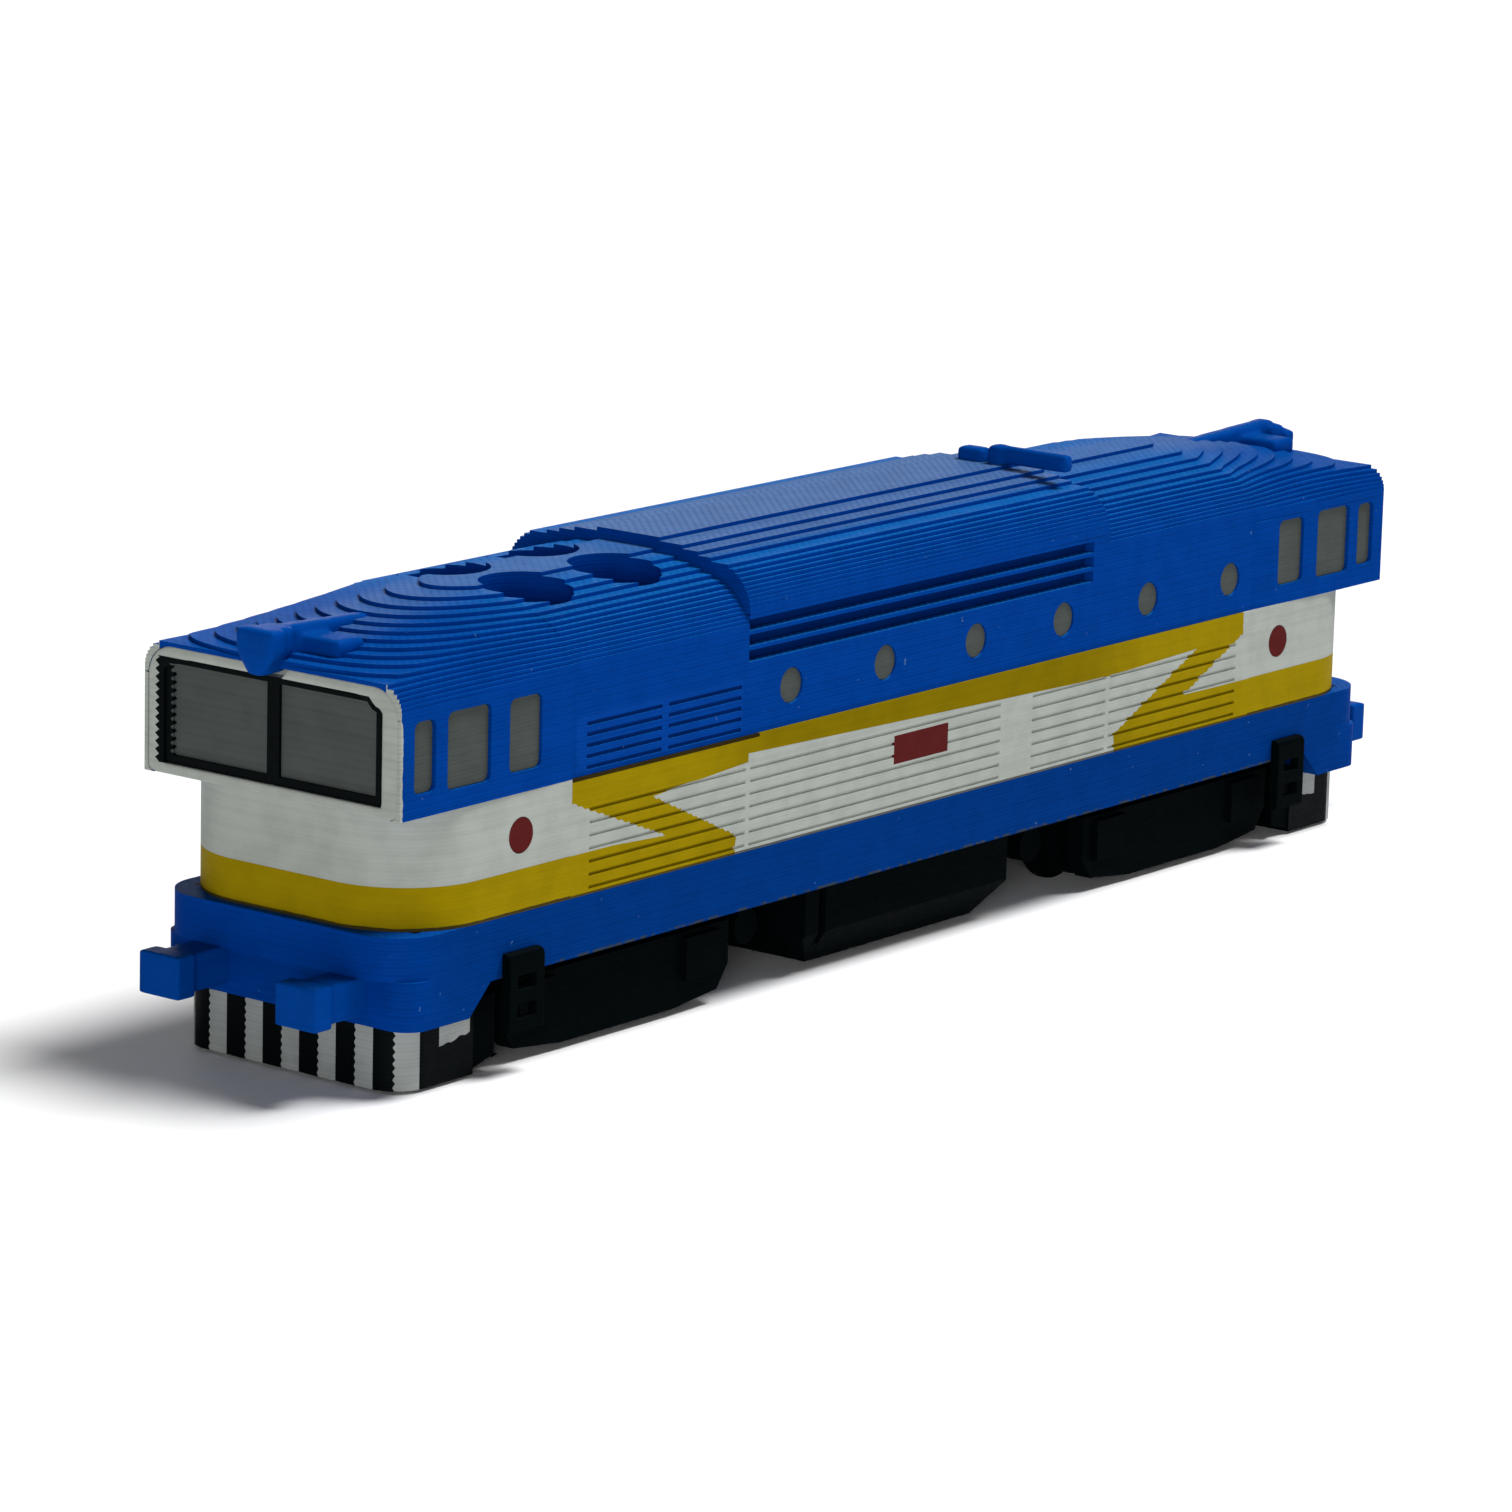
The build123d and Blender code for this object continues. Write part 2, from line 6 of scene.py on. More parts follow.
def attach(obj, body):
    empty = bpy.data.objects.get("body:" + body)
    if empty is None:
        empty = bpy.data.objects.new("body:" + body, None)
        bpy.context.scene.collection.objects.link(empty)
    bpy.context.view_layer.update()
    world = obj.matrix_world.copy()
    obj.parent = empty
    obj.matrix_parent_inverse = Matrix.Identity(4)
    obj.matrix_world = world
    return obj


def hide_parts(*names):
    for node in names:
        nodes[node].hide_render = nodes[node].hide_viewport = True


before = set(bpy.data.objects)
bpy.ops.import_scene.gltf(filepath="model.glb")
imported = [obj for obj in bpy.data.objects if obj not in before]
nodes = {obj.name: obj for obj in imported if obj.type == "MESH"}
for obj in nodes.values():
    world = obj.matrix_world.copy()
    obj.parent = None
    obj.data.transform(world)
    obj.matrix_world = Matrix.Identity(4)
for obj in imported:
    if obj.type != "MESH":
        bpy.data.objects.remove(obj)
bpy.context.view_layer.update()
mm = 0.001
print("frame loaded,", len(nodes), "printed pieces")

# how the print was laid down, in millimetres
printing = {"layer": 0.23, "firstLayer": 0.17, "bead": 0.45}


def deselectAll():
    if bpy.context.mode != "OBJECT":
        bpy.ops.object.mode_set(mode="OBJECT")
    bpy.ops.object.select_all(action="DESELECT")


def pick(piece):
    deselectAll()
    piece.select_set(True)
    bpy.context.view_layer.objects.active = piece


def nodeCopy(nodeName, name):
    # a free copy of a printed piece's surface, its loose triangles merged
    piece = bpy.data.objects.new(name, nodes[nodeName].data.copy())
    bpy.context.scene.collection.objects.link(piece)
    pick(piece)
    bpy.ops.object.mode_set(mode="EDIT")
    bpy.ops.mesh.select_all(action="SELECT")
    bpy.ops.mesh.remove_doubles(threshold=0.002 * mm)
    bpy.ops.object.mode_set(mode="OBJECT")
    return piece


def joinPieces(pieces, name):
    deselectAll()
    for piece in pieces:
        piece.select_set(True)
    bpy.context.view_layer.objects.active = pieces[0]
    bpy.ops.object.join()
    pieces[0].name = name
    return pieces[0]


def settle(piece):
    # place into the mesh, so that patterns on object coordinates stay put
    pick(piece)
    bpy.ops.object.transform_apply(location=True, rotation=True, scale=True)
    return piece


def box(back, front, halfAcross, low, high, side):
    # a box across the middle plane, in millimetres; side -1 puts it at the far end
    deselectAll()
    bpy.ops.mesh.primitive_cube_add(
        size=1, location=((back + front) / 2 * side * mm, 0, (low + high) / 2 * mm),
        scale=((front - back) * mm, 2 * halfAcross * mm, (high - low) * mm))
    return settle(bpy.context.object)


def isAt(coordinate, place):
    # whether a coordinate lies at a place given in millimetres
    return abs(coordinate - place * mm) < 0.01 * mm


# the stepped roofs: walls from the frame, every layer above them drawn in by its own step
hoodEnd = 18.0
cabBack = 34.0
cabFace = 48.85
fanCrown = 26.15
rearCrown = 25.85
flushHalfWidth = 9.2     # the far cab runs into its deck without a step
# sections in millimetres: x, half width, z where the shoulders start, crown z,
# crown start y and z, middle of the shoulder y and z
hoodSections = [(0.0, 9.2, 22.8, 26.85, 6.2, 26.04, 8.749, 24.774)]
fanDeckSections = [(0.0, 9.2, 22.6, fanCrown, 6.2, 25.199, 8.5, 23.85)]
rearDeckSections = [(0.0, 9.2, 22.6, rearCrown, 6.2, 24.979, 8.5, 23.744)]


def cabSections(deckSection, backHalfWidth):
    # a cab roof starts as its deck ends, and falls towards the windscreen
    crown = deckSection[3]
    return [
        (cabBack, backHalfWidth, *deckSection[2:]),
        (41.5, 9.45, 22.3, crown - 0.8, 6.6, crown - 1.7, 8.55, crown - 2.8),
        (cabFace, 9.5, 22.0, fanCrown - 2.4, 7.7, fanCrown - 2.6, 9.1, fanCrown - 3.05),
    ]


# each roof runs from one x to the other; start is the first stepped layer,
# and side is the end of the model that a cab stands at
roofs = {
    "body_hood": {"from": -hoodEnd, "to": hoodEnd, "side": 1, "start": 100, "sections": hoodSections},
    "body_fan_deck": {"from": hoodEnd, "to": cabBack, "side": 1, "start": 97, "sections": fanDeckSections},
    "body_rear_deck": {"from": -cabBack, "to": -hoodEnd, "side": 1, "start": 97, "sections": rearDeckSections},
    "cab_front": {"from": cabBack, "to": cabFace, "side": 1, "start": 94,
                  "sections": cabSections(fanDeckSections[0], 9.35)},
    "cab_rear": {"from": cabBack, "to": cabFace, "side": -1, "start": 94,
                 "sections": cabSections(rearDeckSections[0], flushHalfWidth)},
}
curveStations = 44       # corners along each side of a cab's layer; a straight side has 2
smallestLayer = 0.3      # a layer shorter or narrower than this is left out
sharpTip = 0.02          # half width that closes a layer's front
fanWells = {"x": (30.9, 23.0), "y": 3.1, "diameter": 5.5, "floor": 24.32, "above": 0.5, "sides": 72}
framePocket = {"back": 48.05, "front": 50.05, "halfWidth": 9.25, "low": 19.4, "top": 23.4, "radius": 1.7,
               "segments": 10}
smoothBelow = {"roof": 25, "guard": 30}      # degrees between faces that are shaded as one


def layerFloor(index):
    return printing["firstLayer"] + index * printing["layer"]


def sectionAt(sections, x):
    # the section at x, drawn smoothly through the given ones
    if len(sections) == 1:
        return sections[0]
    values = [0.0] * len(sections[0])
    for section in sections:
        weight = 1.0
        for other in sections:
            if other is not section:
                weight *= (x - other[0]) / (section[0] - other[0])
        values = [value + weight * part for value, part in zip(values, section)]
    return values


def circleThrough(first, second, third):
    # centre and radius of the circle through three points
    ax, ay = first
    bx, by = second
    cx, cy = third
    spread = 2 * (ax * (by - cy) + bx * (cy - ay) + cx * (ay - by))
    aa, bb, cc = ax * ax + ay * ay, bx * bx + by * by, cx * cx + cy * cy
    x = (aa * (by - cy) + bb * (cy - ay) + cc * (ay - by)) / spread
    y = (aa * (cx - bx) + bb * (ax - cx) + cc * (bx - ax)) / spread
    return x, y, math.hypot(ax - x, ay - y)


def halfWidth(section, z):
    # half the width of a section at one height, below 0 above its crown
    x, wall, spring, crown, crownY, crownZ, shoulderY, shoulderZ = section
    if z <= spring:
        return wall
    if z >= crown:
        return -1.0
    if z < crownZ:
        y, height, radius = circleThrough((wall, spring), (shoulderY, shoulderZ), (crownY, crownZ))
    else:
        y, height, radius = circleThrough((crownY, crownZ), (0.0, crown), (-crownY, crownZ))
    return y + math.sqrt(max(radius * radius - (z - height) ** 2, 0.0))


def reach(roof, z):
    # how far forward a layer at this height comes
    if halfWidth(sectionAt(roof["sections"], roof["to"]), z) >= 0:
        return roof["to"]
    low, high = roof["from"], roof["to"]
    for step in range(30):
        middle = (low + high) / 2
        if halfWidth(sectionAt(roof["sections"], middle), z) >= 0:
            low = middle
        else:
            high = middle
    return low


def layerOutline(roof, z):
    # corners of one layer: along one side from its start, then back along the other
    start, end = roof["from"], reach(roof, z)
    if end - start < smallestLayer:
        return None
    stations = curveStations if len(roof["sections"]) > 1 else 2
    there = []
    for index in range(stations):
        share = math.sin(index / (stations - 1) * math.pi / 2)
        x = start + (end - start) * share
        width = max(halfWidth(sectionAt(roof["sections"], x), z), sharpTip)
        there.append((x * roof["side"], width))
    back = [(x, -y) for x, y in reversed(there)]
    return there + back


def drawTo(piece, before, after, height):
    # moves the corners of the selected top face from one outline onto the next
    face = next(face for face in piece.data.polygons if face.select)
    for corner in face.vertices:
        vertex = piece.data.vertices[corner]
        x, y = vertex.co.x / mm, vertex.co.y / mm
        nearest = min(range(len(before)), key=lambda index: math.dist(before[index], (x, y)))
        vertex.co = (after[nearest][0] * mm, after[nearest][1] * mm, height * mm)


def steppedBlock(name, outlines, floor):
    # a flat face with the first outline's corners, extruded layer by layer
    bpy.ops.mesh.primitive_circle_add(vertices=len(outlines[0]), radius=0.01, fill_type="NGON")
    piece = bpy.context.object
    piece.name = name
    for vertex, (x, y) in zip(piece.data.vertices, outlines[0]):
        vertex.co = (x * mm, y * mm, floor * mm)
    piece.data.polygons[0].select = True
    for index, outline in enumerate(outlines):
        bottom = floor + index * printing["layer"]
        if index:
            bpy.ops.object.mode_set(mode="EDIT")
            bpy.ops.mesh.extrude_region_move(TRANSFORM_OT_translate={"value": (0, 0, 0)})
            bpy.ops.object.mode_set(mode="OBJECT")
            drawTo(piece, outlines[index - 1], outline, bottom)
        bpy.ops.object.mode_set(mode="EDIT")
        bpy.ops.mesh.extrude_region_move(TRANSFORM_OT_translate={"value": (0, 0, printing["layer"] * mm)})
        bpy.ops.object.mode_set(mode="OBJECT")
    return piece


def closeBottom(piece):
    # caps the open underside and turns every face outwards
    bpy.ops.object.mode_set(mode="EDIT")
    bpy.ops.mesh.select_all(action="DESELECT")
    bpy.ops.mesh.select_mode(type="EDGE")
    bpy.ops.mesh.select_non_manifold(extend=False)
    bpy.ops.mesh.edge_face_add()
    bpy.ops.mesh.select_mode(type="FACE")
    bpy.ops.mesh.select_all(action="SELECT")
    bpy.ops.mesh.normals_make_consistent(inside=False)
    bpy.ops.object.mode_set(mode="OBJECT")


def soften(piece, values):
    # rounds every edge as the molten plastic does
    pick(piece)
    skin = piece.modifiers.new("skin", "REMESH")
    skin.mode = "VOXEL"
    skin.voxel_size = values["voxel"] * mm
    bpy.ops.object.modifier_apply(modifier=skin.name)
    rounding = piece.modifiers.new("rounding", "SMOOTH")
    rounding.factor = 0.5
    rounding.iterations = values["passes"]
    bpy.ops.object.modifier_apply(modifier=rounding.name)
    bpy.ops.object.shade_smooth()


def carve(piece, cutter):
    pick(piece)
    cut = piece.modifiers.new("cut", "BOOLEAN")
    cut.operation = "DIFFERENCE"
    cut.solver = "EXACT"
    cut.object = cutter
    bpy.ops.object.modifier_apply(modifier=cut.name)
    bpy.data.objects.remove(cutter)


def fanCutter():
    wells = []
    height = fanCrown + fanWells["above"] - fanWells["floor"]
    for x in fanWells["x"]:
        for y in (fanWells["y"], -fanWells["y"]):
            deselectAll()
            bpy.ops.mesh.primitive_cylinder_add(
                vertices=fanWells["sides"], radius=fanWells["diameter"] / 2 * mm, depth=height * mm,
                location=(x * mm, y * mm, (fanWells["floor"] + height / 2) * mm))
            wells.append(settle(bpy.context.object))
    return joinPieces(wells, "fanCutter")


def pocketCutter(side):
    # the space of the windscreen frame, its two top corners rounded
    values = framePocket
    piece = box(values["back"], values["front"], values["halfWidth"], values["low"], values["top"], side)
    bpy.ops.object.mode_set(mode="EDIT")
    bpy.ops.mesh.select_mode(type="EDGE")
    bpy.ops.mesh.select_all(action="DESELECT")
    bpy.ops.object.mode_set(mode="OBJECT")
    for edge in piece.data.edges:
        first, second = [piece.data.vertices[corner].co for corner in edge.vertices]
        isTop = isAt(first.z, values["top"]) and isAt(second.z, values["top"])
        edge.select = isTop and isAt(first.y, second.y / mm)
    bpy.ops.object.mode_set(mode="EDIT")
    bpy.ops.mesh.bevel(offset=values["radius"] * mm, offset_type="OFFSET", segments=values["segments"])
    bpy.ops.object.mode_set(mode="OBJECT")
    return piece


def layerOutlines(roof):
    # the outline of every stepped layer, from the first one up to the crown
    outlines = []
    while True:
        middle = layerFloor(roof["start"] + len(outlines)) + printing["layer"] / 2
        outline = layerOutline(roof, middle)
        backWidth = halfWidth(sectionAt(roof["sections"], roof["from"]), middle)
        if outline is None or backWidth < smallestLayer:
            return outlines
        outlines.append(outline)


def wallsBelow(nodeName, roof, floor):
    # the printed piece itself, up to the first stepped layer
    piece = nodeCopy(nodeName, nodeName + "_walls")
    bpy.ops.object.mode_set(mode="EDIT")
    bpy.ops.mesh.select_all(action="SELECT")
    bpy.ops.mesh.bisect(plane_co=(0, 0, floor * mm), plane_no=(0, 0, 1), use_fill=True,
                        clear_inner=False, clear_outer=True)
    bpy.ops.object.mode_set(mode="OBJECT")
    if nodeName == "cab_rear":
        for vertex in piece.data.vertices:
            if isAt(vertex.co.x, -roof["from"]) and abs(vertex.co.y) > flushHalfWidth * mm:
                vertex.co.y = math.copysign(flushHalfWidth * mm, vertex.co.y)
    return piece


def steppedRoof(nodeName, roof):
    floor = layerFloor(roof["start"])
    deselectAll()
    block = steppedBlock(nodeName + "_steps", layerOutlines(roof), floor)
    closeBottom(block)
    if nodeName == "body_fan_deck":
        carve(block, fanCutter())
    if nodeName.startswith("cab"):
        carve(block, pocketCutter(roof["side"]))
    piece = joinPieces([block, wallsBelow(nodeName, roof, floor)], nodeName + "_stepped")
    pick(piece)
    bpy.ops.mesh.customdata_custom_splitnormals_clear()
    bpy.ops.object.shade_smooth_by_angle(angle=math.radians(smoothBelow["roof"]))
    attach(piece, "root")
    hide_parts(nodeName)
    return piece


stepped = [steppedRoof(nodeName, roof) for nodeName, roof in roofs.items()]
print("roof stepped:", sum(len(piece.data.polygons) for piece in stepped), "faces")

# molten blocks: lamps, horns, exhaust, buffers, steps and windscreen frames, with their voxel size,
# smoothing passes, and how far a copy is sunk inwards and down into what carries the piece
moltenBlocks = {
    "lamp_unit": {"voxel": 0.11, "passes": 50, "inward": 0.12, "down": 0.2, "slot": "blue_plastic"},
    "exhaust_bar": {"voxel": 0.09, "passes": 90, "inward": 0, "down": 0.25, "slot": "blue_plastic"},
    "buffers": {"voxel": 0.1, "passes": 16, "inward": 0.4, "down": 0, "slot": "blue_plastic"},
    "steps": {"voxel": 0.1, "passes": 3, "inward": 0, "down": 0, "slot": "black_plastic"},
    "windscreen_frame": {"voxel": 0.1, "passes": 5, "inward": 0, "down": 0, "slot": "white_plastic"},
}
ends = {"_front": 1, "_rear": -1}
# the level fairing that runs from each lamp back to the crown of the roof
fairing = {"back": 37.2, "front": 48.9, "halfWidth": 0.62, "low": 23.6, "top": 25.68, "slope": 1.6, "drop": 0.5}


def fairingBlock(side):
    values = fairing
    piece = box(values["back"], values["front"], values["halfWidth"], values["low"], values["top"], side)
    for vertex in piece.data.vertices:    # the back end slopes down into the roof
        if isAt(abs(vertex.co.x), values["back"]) and isAt(vertex.co.z, values["top"]):
            vertex.co.x -= values["slope"] * side * mm
            vertex.co.z -= values["drop"] * mm
    return piece


# the lamp itself is drawn forward on a narrower neck, and the horn behind it stays;
# up, neckUp and leftDroop are given for side 1 and side -1
lampHead = {"from": 47.6, "face": 49.7, "forward": 0.65, "deep": 0.75, "wide": 0.82,
            "up": {1: 0.25, -1: -0.08}, "shoulder": 25.0, "leftDroop": {1: 0.0, -1: 0.5},
            "neckWide": 0.6, "neckUp": {1: 0.42, -1: 0.1}}


def lampCorners(piece):
    return [vertex for vertex in piece.data.vertices if abs(vertex.co.x) >= lampHead["from"] * mm]


def drawHead(piece, side):
    values = lampHead
    for vertex in lampCorners(piece):
        behindFace = (values["face"] - abs(vertex.co.x) / mm) * values["deep"]
        vertex.co.x = (values["face"] + values["forward"] - behindFace) * side * mm
        vertex.co.y *= values["wide"]
        vertex.co.z += values["up"][side] * mm
        if vertex.co.y > 0 and vertex.co.z > values["shoulder"] * mm:
            vertex.co.z -= values["leftDroop"][side] * mm


def drawNeck(piece, side):
    for vertex in lampCorners(piece):
        vertex.co.y *= lampHead["neckWide"]
        vertex.co.z += lampHead["neckUp"][side] * mm


def melted(nodeName, values, side):
    isLamp = nodeName.startswith("lamp")
    parts = [nodeCopy(nodeName, nodeName + "_soft")]
    if isLamp:
        drawHead(parts[0], side)
    if values["inward"] or values["down"]:
        sunk = nodeCopy(nodeName, nodeName + "_sunk")
        bpy.ops.transform.translate(value=(-values["inward"] * side * mm, 0, -values["down"] * mm))
        parts.append(settle(sunk))
        if isLamp:
            drawNeck(sunk, side)
            parts.append(fairingBlock(side))
    piece = joinPieces(parts, nodeName + "_soft")
    soften(piece, values)
    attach(piece, "root")
    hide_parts(nodeName)
    return piece


softBlocks = []
for start, values in moltenBlocks.items():
    for end, side in {**ends, "": 1}.items():
        if start + end in nodes:
            softBlocks.append(melted(start + end, values, side))
print("blocks softened:", sum(len(piece.data.polygons) for piece in softBlocks), "faces")

# guard behind each skirt: a chin that fills the space in front of the bogie and stops short
# of the turning bogie frame, hollowed between its two cheeks to clear the wheels
guard = {"back": 39.0, "front": 41.15, "halfWidth": 8.2, "low": 0.35, "backLow": 0.95, "high": 4.6,
         "bevel": 0.3, "segments": 4, "hollow": 1.2, "cheek": 3.2, "cuts": 7}


def guardBlock(side):
    values = guard
    piece = box(values["back"], values["front"], values["halfWidth"], values["low"], values["high"], side)
    piece.name = "guard_front" if side > 0 else "guard_rear"
    for vertex in piece.data.vertices:    # the underside rises towards the bogie
        if isAt(abs(vertex.co.x), values["back"]) and isAt(vertex.co.z, values["low"]):
            vertex.co.z = values["backLow"] * mm
    bpy.ops.object.mode_set(mode="EDIT")
    bpy.ops.mesh.select_all(action="SELECT")
    bpy.ops.mesh.subdivide(number_cuts=values["cuts"])
    bpy.ops.object.mode_set(mode="OBJECT")
    for vertex in piece.data.vertices:
        if isAt(abs(vertex.co.x), values["back"]):
            inward = (values["halfWidth"] - abs(vertex.co.y) / mm) / values["cheek"]
            vertex.co.x += side * values["hollow"] * min(inward, 1.0) * mm
    rounding = piece.modifiers.new("rounding", "BEVEL")
    rounding.width = values["bevel"] * mm
    rounding.segments = values["segments"]
    rounding.limit_method = "ANGLE"
    bpy.ops.object.modifier_apply(modifier=rounding.name)
    bpy.ops.object.shade_smooth_by_angle(angle=math.radians(smoothBelow["guard"]))
    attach(piece, "root")
    return piece


guards = [guardBlock(side) for side in ends.values()]
print("guards in place")


class Link:
    # one output socket of a material, so that shader maths reads as plain expressions
    def __init__(self, paint, socket):
        self.paint = paint
        self.socket = socket

    def __add__(self, other):
        return self.paint.math("ADD", self, other)

    def __sub__(self, other):
        return self.paint.math("SUBTRACT", self, other)

    def __rsub__(self, other):
        return self.paint.math("SUBTRACT", other, self)

    def __mul__(self, other):
        return self.paint.math("MULTIPLY", self, other)

    def __truediv__(self, other):
        return self.paint.math("DIVIDE", self, other)

    def __gt__(self, other):
        return self.paint.math("GREATER_THAN", self, other)

    def __lt__(self, other):
        return self.paint.math("LESS_THAN", self, other)

    def __abs__(self):
        return self.paint.math("ABSOLUTE", self)

    __radd__ = __add__
    __rmul__ = __mul__

    def fraction(self):
        return self.paint.math("FRACT", self)

    def floor(self):
        return self.paint.math("FLOOR", self)

    def orElse(self, other):
        return self.paint.math("MAXIMUM", self, other)

    def within(self, span):
        return (self > span[0]) * (self < span[1])

    def ramp(self, low, high):
        # 0 at low, 1 at high, smooth between
        return self.paint.put("ShaderNodeMapRange", {"interpolation_type": "SMOOTHSTEP"},
                              {"Value": self, "From Min": low, "From Max": high})


class Paint:
    # a material under construction
    def __init__(self, name):
        self.material = bpy.data.materials.new(name)
        self.material.use_nodes = True
        self.tree = self.material.node_tree
        self.shader = self.tree.nodes["Principled BSDF"]
        position = self.put("ShaderNodeTexCoord", output="Object")
        self.where = self.put("ShaderNodeVectorMath", {"operation": "SCALE"}, {0: position, "Scale": 1 / mm})
        self.x, self.y, self.z = self.split(self.where)
        self.up = self.split(self.put("ShaderNodeNewGeometry", output="Normal"))[2]

    def put(self, kind, settings=None, values=None, output=0):
        node = self.tree.nodes.new(kind)
        for key, value in (settings or {}).items():
            setattr(node, key, value)
        for key, value in (values or {}).items():
            if isinstance(value, Link):
                self.tree.links.new(value.socket, node.inputs[key])
            else:
                node.inputs[key].default_value = value
        return Link(self, node.outputs[output])

    def math(self, operation, *terms):
        return self.put("ShaderNodeMath", {"operation": operation}, dict(enumerate(terms)))

    def split(self, vector):
        first = self.put("ShaderNodeSeparateXYZ", values={0: vector})
        return [Link(self, first.socket.node.outputs[axis]) for axis in range(3)]

    def blend(self, share, under, over):
        def ready(colour):
            return colour if isinstance(colour, Link) else (*colour, 1.0)
        return self.put("ShaderNodeMix", {"data_type": "RGBA"}, {0: share, 6: ready(under), 7: ready(over)}, 2)

    def noise(self, scale, detail=2.0):
        # scale counts features per millimetre
        return self.put("ShaderNodeTexNoise", values={"Vector": self.where, "Scale": scale, "Detail": detail})

    def random(self, value):
        return self.put("ShaderNodeTexWhiteNoise", {"noise_dimensions": "1D"}, {"W": value})

    def feed(self, socket, value):
        target = self.shader.inputs[socket]
        if isinstance(value, Link):
            self.tree.links.new(value.socket, target)
        else:
            target.default_value = (*value, 1.0) if isinstance(value, tuple) else value


# printed plastic: side colours are what it gives back in plain white light; top colours are lighter, a painted
# sheen of the light on its upper faces
plastics = {
    "blue": {"side": (0.0, 0.042, 0.265), "top": (0.006, 0.12, 0.42),
             "roughness": 0.5, "gloss": 0.004, "lines": 1.3},
    "lump": {"side": (0.0, 0.046, 0.27), "top": (0.0, 0.06, 0.31),
             "roughness": 0.45, "gloss": 0.008, "lines": 0.35},
    "white": {"side": (0.36, 0.385, 0.355), "top": (0.42, 0.44, 0.41),
              "roughness": 0.6, "gloss": 0.04, "lines": 0.4},
    "yellow": {"side": (0.285, 0.204, 0.001), "top": (0.28, 0.21, 0.002),
               "roughness": 0.5, "gloss": 0.01, "lines": 0.5},
    "red": {"side": (0.09, 0.01, 0.01), "top": (0.11, 0.015, 0.015),
            "roughness": 0.5, "gloss": 0.02, "lines": 0.6},
    "grey": {"side": (0.065, 0.075, 0.07), "top": (0.08, 0.09, 0.085),
             "roughness": 0.5, "gloss": 0.03, "lines": 0.8},
    "black": {"side": (0.0008, 0.0022, 0.0026), "top": (0.003, 0.005, 0.006),
              "roughness": 0.55, "gloss": 0.006, "lines": 1.0},
}
plainNames = ("lump", "white", "red", "grey", "black")
# heights in millimetres, shades as parts of the colour, noises as scale and detail
beads = {
    "relief": 0.009, "topRelief": 0.008, "unevenness": 0.007, "fineUnevenness": 0.003,
    # grooveShade is painted shade in the grooves between beads; mottle and layerShade are random tone; the top
    # colour that topGroove keeps is a painted sheen
    "grooveShade": 0.12, "mottle": 0.08, "layerShade": 0.05,
    "mainShare": 0.6,            # of the relief; the rest is every second groove or the crossing lines
    "topNormal": (0.75, 0.95),   # how far up or down a face looks before it shows top lines
    "topGroove": 0.55,           # how much of the top colour its grooves keep
    "roughnessSpread": 0.3, "topRoughness": 0.06,
    "grain": (2.2, 3.0), "fine": (9.0, 2.0), "patch": (0.55, 3.0), "patchNoise": (0.35, 0.65),
}


def beadProfile(position):
    # round bead from one groove to the next, 0 in the groove and 1 on its crest
    offset = position.fraction() * 2 - 1
    return 1 - offset * offset


def layerPosition(paint):
    return (paint.z - printing["firstLayer"]) / printing["layer"]


def finishPlastic(paint, colour, settings, pairing=1, top=None):
    # the layer lines, top lines and mottling that every printed colour shares, with painted shade in the
    # grooves between beads and a painted sheen on upper faces
    values = beads
    first, second = values["mainShare"], 1 - values["mainShare"]
    position = layerPosition(paint) / pairing
    layerIndex = position.floor()
    side = beadProfile(position) * first + beadProfile(position * 0.5) * second
    isTop = paint.up.ramp(*values["topNormal"]).orElse((paint.up * -1).ramp(*values["topNormal"]))
    turn = (layerIndex * 0.5).fraction() * 4 - 1    # lines change direction from one layer to the next
    pitch = printing["bead"] * math.sqrt(2)
    above = beadProfile((paint.x + paint.y * turn) / pitch) * first
    above = above + beadProfile((paint.x - paint.y * turn) / pitch) * second
    profile = side + (above - side) * isTop
    grain = paint.noise(*values["grain"])
    fine = paint.noise(*values["fine"])
    sideRelief = values["relief"] * settings["lines"]
    relief = isTop * (values["topRelief"] - sideRelief) + sideRelief
    height = profile * relief + grain * values["unevenness"] + fine * values["fineUnevenness"]
    bump = paint.put("ShaderNodeBump", {}, {"Strength": 1.0, "Distance": mm, "Height": height})
    paint.feed("Normal", bump)
    # painted shade in the grooves between beads, with random mottling and a random tone for each layer
    shade = (1 - profile) * (values["grooveShade"] * settings["lines"])
    patch = paint.noise(*values["patch"]).ramp(*values["patchNoise"])
    shade = shade + patch * values["mottle"] + paint.random(layerIndex) * values["layerShade"]
    # upper faces take the top colour, a painted sheen, fullest on the bead crests
    sheenShare = isTop * (values["topGroove"] + profile * (1 - values["topGroove"]))
    withTopSheen = paint.blend(sheenShare, colour, top or settings["top"])
    paint.feed("Base Color", paint.blend(shade, withTopSheen, (0.0, 0.0, 0.0)))
    paint.feed("Roughness", settings["roughness"] + (grain - 0.5) * values["roughnessSpread"]
               + isTop * values["topRoughness"])
    paint.feed("Specular IOR Level", settings["gloss"])
    return paint.material


def plainPlastic(name):
    settings = plastics[name]
    paint = Paint(name + "Print")
    return finishPlastic(paint, settings["side"], settings)
